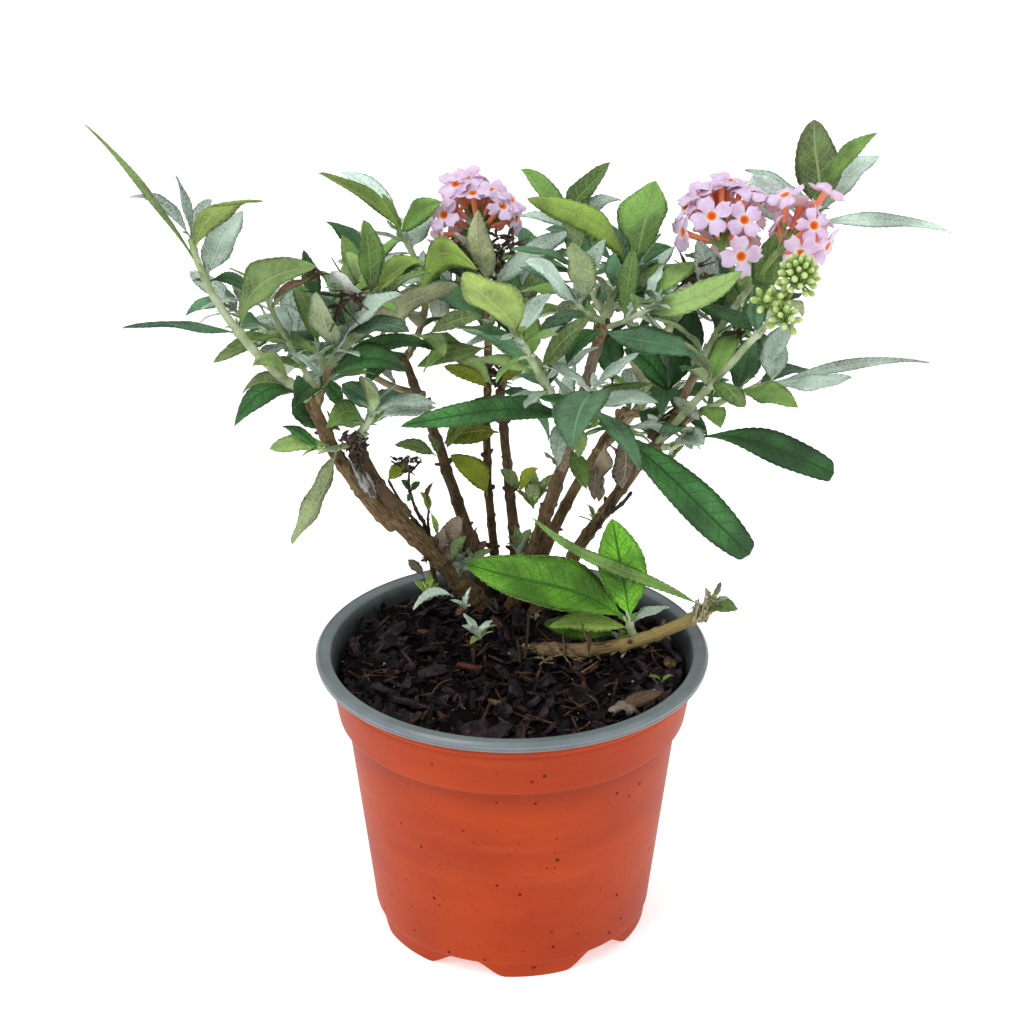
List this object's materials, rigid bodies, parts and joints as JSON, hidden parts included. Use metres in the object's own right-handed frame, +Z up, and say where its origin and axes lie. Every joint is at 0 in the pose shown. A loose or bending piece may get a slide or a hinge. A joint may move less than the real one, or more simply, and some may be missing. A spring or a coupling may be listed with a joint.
{
  "type": "butterfly bush in a nursery pot",
  "caption": "Young potted butterfly bush with upright woody stems, narrow grey-green leaves and pink flower heads, in a tapered orange nursery pot with a rolled grey lip.",
  "frame": {"origin": "middle of the pot's flat underside, on the ground", "axes": "+Z up along the pot's axis; the front, where the lying stem and the large front leaves are, faces -Y; +X to the right seen from the front"},
  "size_m": [0.269, 0.181, 0.2729],
  "materials": {
    "pot_orange": "semi-gloss",
    "pot_grey": "semi-gloss",
    "compost": "rough, moist",
    "bark": "rough",
    "foliage": "matte",
    "blossom": "matte"
  },
  "bodies": {
    "root": {"pot": "pot_orange", "pot_lining": "pot_grey", "compost": "compost", "stem_left": "bark", "bough_left_outer": "bark", "bough_left_inner": "bark", "stem_back_left": "bark", "stem_back": "bark", "stem_back_right": "bark", "stem_centre": "bark", "stem_centre_right": "bark", "stem_right": "bark", "stem_lying": "bark", "foliage_far_left": "foliage", "foliage_left_crown": "foliage", "foliage_left_low": "foliage", "foliage_back_left": "foliage", "flower_spike_centre": "blossom", "foliage_mid_back": "foliage", "foliage_front_shoot": "foliage", "foliage_centre_front": "foliage", "foliage_centre": "foliage", "foliage_right_mid": "foliage", "flower_heads_right": "blossom", "foliage_bud_shoot": "foliage", "foliage_right_long": "foliage", "foliage_right_low": "foliage", "foliage_lying": "foliage", "foliage_lying_tip": "foliage", "foliage_back_right": "foliage", "foliage_back_far_left": "foliage"}
  },
  "joints": []
}
